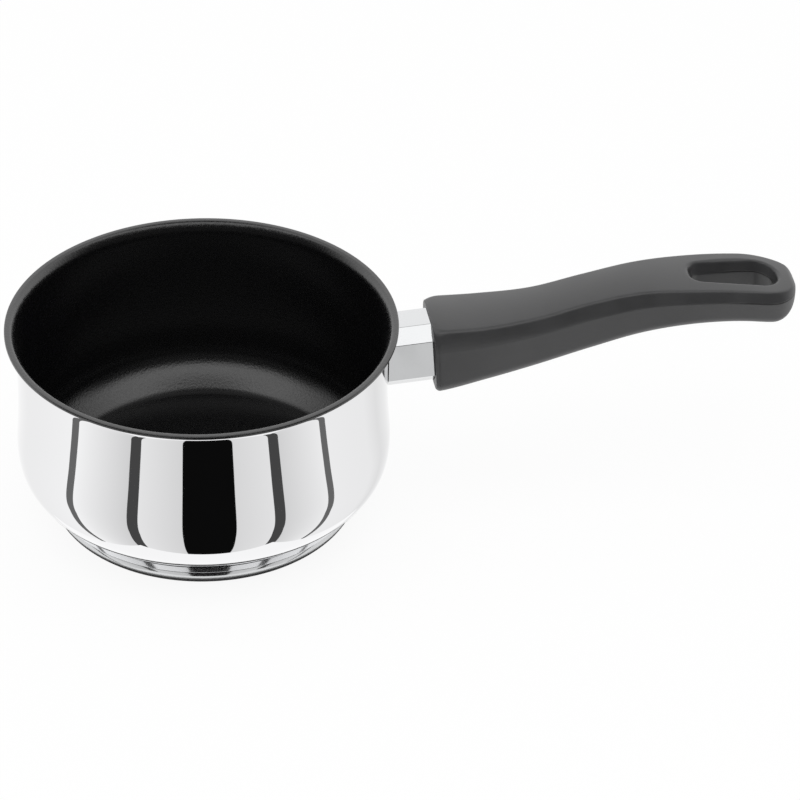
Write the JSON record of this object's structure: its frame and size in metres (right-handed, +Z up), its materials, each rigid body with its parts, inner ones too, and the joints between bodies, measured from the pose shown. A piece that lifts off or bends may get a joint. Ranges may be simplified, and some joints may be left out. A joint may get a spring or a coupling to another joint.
{
  "type": "milk pan",
  "caption": "Small bellied stainless saucepan with a rolled-out pouring lip, non-stick inside, bonded heat-spreading base and one long moulded handle with a hanging hole.",
  "frame": {"origin": "centre of the flat underside that the pan stands on", "axes": "+Z up out of the pan's mouth, +X from the pan's axis out along the handle, +Y to the left of a person looking along the handle from the pan"},
  "size_m": [0.301, 0.148, 0.085],
  "materials": {
    "steel_mirror": "mirror-polished stainless steel",
    "nonstick": "baked non-stick coating, low sheen, finely speckled",
    "aluminium": "turned edge, bright",
    "steel_base": "polished side, brushed underside",
    "steel_plain": "turned and welded, unpolished",
    "phenolic": "moulded phenolic, satin, fine parting line",
    "steel_plated": "zinc-plated"
  },
  "bodies": {
    "root": {"pan_shell": "steel_mirror", "nonstick_lining": "nonstick", "spreader_disc": "aluminium", "base_cap": "steel_base", "handle_boss": "steel_plain", "flame_guard": "steel_mirror", "handle_grip": "phenolic", "handle_screw": "steel_plated", "flat_washer": "steel_plated", "spring_washer": "steel_plated"}
  },
  "joints": []
}
